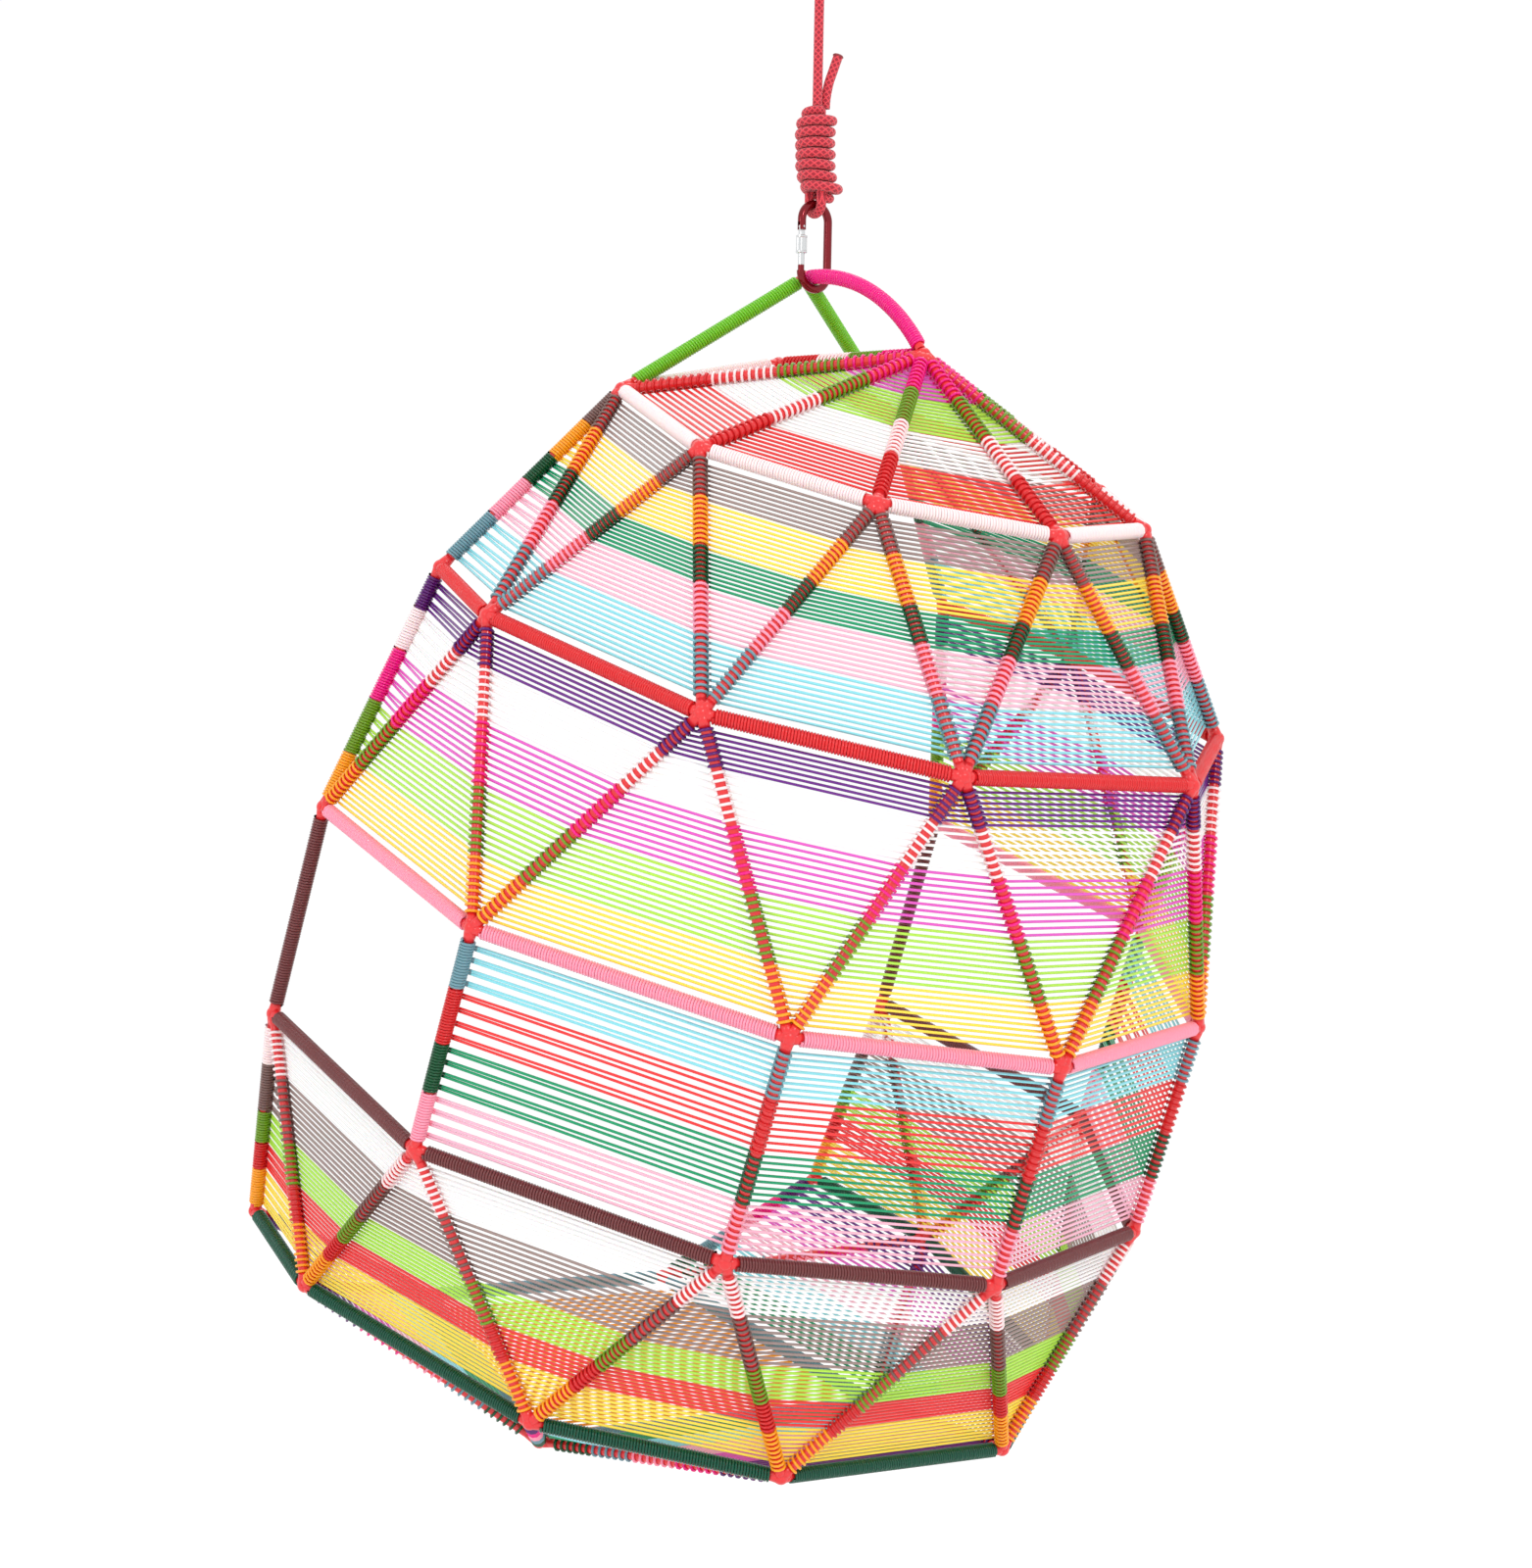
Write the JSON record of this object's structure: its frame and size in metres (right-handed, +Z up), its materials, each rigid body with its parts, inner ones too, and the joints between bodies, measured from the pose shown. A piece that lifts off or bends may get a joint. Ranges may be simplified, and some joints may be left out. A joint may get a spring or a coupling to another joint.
{
  "type": "hanging pod chair",
  "caption": "Egg-shaped hanging chair of steel tube woven with coloured round cord, open in front, hung by handle, carabiner and knotted rope.",
  "frame": {"origin": "centre of the ceiling plate's top face, where it meets the ceiling", "axes": "+Z up; the opening faces -Y and the closed back +Y, with the pod leaning back as it hangs"},
  "size_m": [1.077, 1.0228, 1.9714],
  "materials": {
    "zinc": "satin",
    "bronze": "satin",
    "rope_red": "matte",
    "anodised_red": "gloss",
    "polished_steel": "polished",
    "frame_red": "gloss",
    "cord_lime": "gloss",
    "cord_magenta": "gloss",
    "cord_white": "gloss",
    "cord_red": "gloss",
    "cord_pink": "gloss",
    "cord_brown": "gloss",
    "cord_dark_green": "gloss",
    "cord_taupe": "gloss",
    "cord_yellow": "gloss",
    "cord_green": "gloss",
    "cord_cyan": "gloss",
    "cord_purple": "gloss",
    "cord_orange": "gloss"
  },
  "bodies": {
    "ceiling_fitting": {"ceiling_plate": "zinc", "bearing_washer": "bronze"},
    "swivel": {"swivel_eye": "zinc"},
    "rope": {"rope_line": "rope_red", "upper_knot": "rope_red", "lower_knot": "rope_red", "rope_tail": "rope_red", "carabiner_body": "anodised_red", "gate_pin": "polished_steel"},
    "gate": {"carabiner_gate": "polished_steel"},
    "sleeve": {"lock_sleeve": "polished_steel"},
    "pod": {"handle_legs": "frame_red", "handle_arch": "frame_red", "handle_leg_windings": "cord_lime", "handle_arch_winding": "cord_magenta", "frame_joints": "frame_red", "crown_frame": "frame_red", "shoulder_frame": "frame_red", "waist_frame": "frame_red", "side_frame": "frame_red", "base_frame": "frame_red", "floor_frame": "frame_red", "crown_hoop_winding": "cord_white", "shoulder_hoop_winding": "cord_red", "waist_hoop_winding": "cord_pink", "hip_hoop_winding": "cord_brown", "base_hoop_winding": "cord_dark_green", "floor_bar_winding": "cord_cyan", "strut_windings": "cord_red", "crown_cord_magenta": "cord_magenta", "crown_cord_lime": "cord_lime", "crown_cord_white": "cord_white", "crown_cord_red": "cord_red", "shoulder_cord_taupe": "cord_taupe", "shoulder_cord_yellow": "cord_yellow", "shoulder_cord_green": "cord_green", "shoulder_cord_pink": "cord_pink", "shoulder_cord_cyan": "cord_cyan", "waist_cord_purple": "cord_purple", "waist_cord_white": "cord_white", "waist_cord_magenta": "cord_magenta", "waist_cord_lime": "cord_lime", "waist_cord_yellow": "cord_yellow", "side_cord_cyan": "cord_cyan", "side_cord_red": "cord_red", "side_cord_green": "cord_green", "side_cord_pink": "cord_pink", "base_cord_white": "cord_white", "base_cord_taupe": "cord_taupe", "base_cord_lime": "cord_lime", "base_cord_red": "cord_red", "base_cord_yellow": "cord_yellow", "floor_cord_purple": "cord_purple", "floor_cord_magenta": "cord_magenta", "floor_cord_pink": "cord_pink", "floor_cord_cyan": "cord_cyan", "floor_cord_green": "cord_green", "floor_centre_cord": "cord_orange"}
  },
  "joints": [
    {"name": "swivel_spin", "type": "hinge", "parent": "ceiling_fitting", "child": "swivel", "pos_m": [0, 0, -0.025], "axis": [0, 0, 1], "continuous": true},
    {"name": "rope_swing", "type": "hinge", "parent": "swivel", "child": "rope", "pos_m": [0, 0, -0.066], "axis": [1, 0, 0], "range_deg": [-15, 15]},
    {"name": "pod_sway", "type": "hinge", "parent": "rope", "child": "pod", "pos_m": [0, 0, -0.5355], "axis": [0, 1, 0], "range_deg": [-12, 12]},
    {"name": "gate_hinge", "type": "hinge", "parent": "rope", "child": "gate", "pos_m": [0.0208, 0, -0.47603], "axis": [0, 1, 0], "range_deg": [0, 30], "stiffness_Nm_per_rad": 0.06, "springref_deg": -17.19},
    {"name": "sleeve_slide", "type": "slide", "parent": "gate", "child": "sleeve", "axis": [0, 0, -1], "range_m": [-0.003, 0.012]}
  ]
}
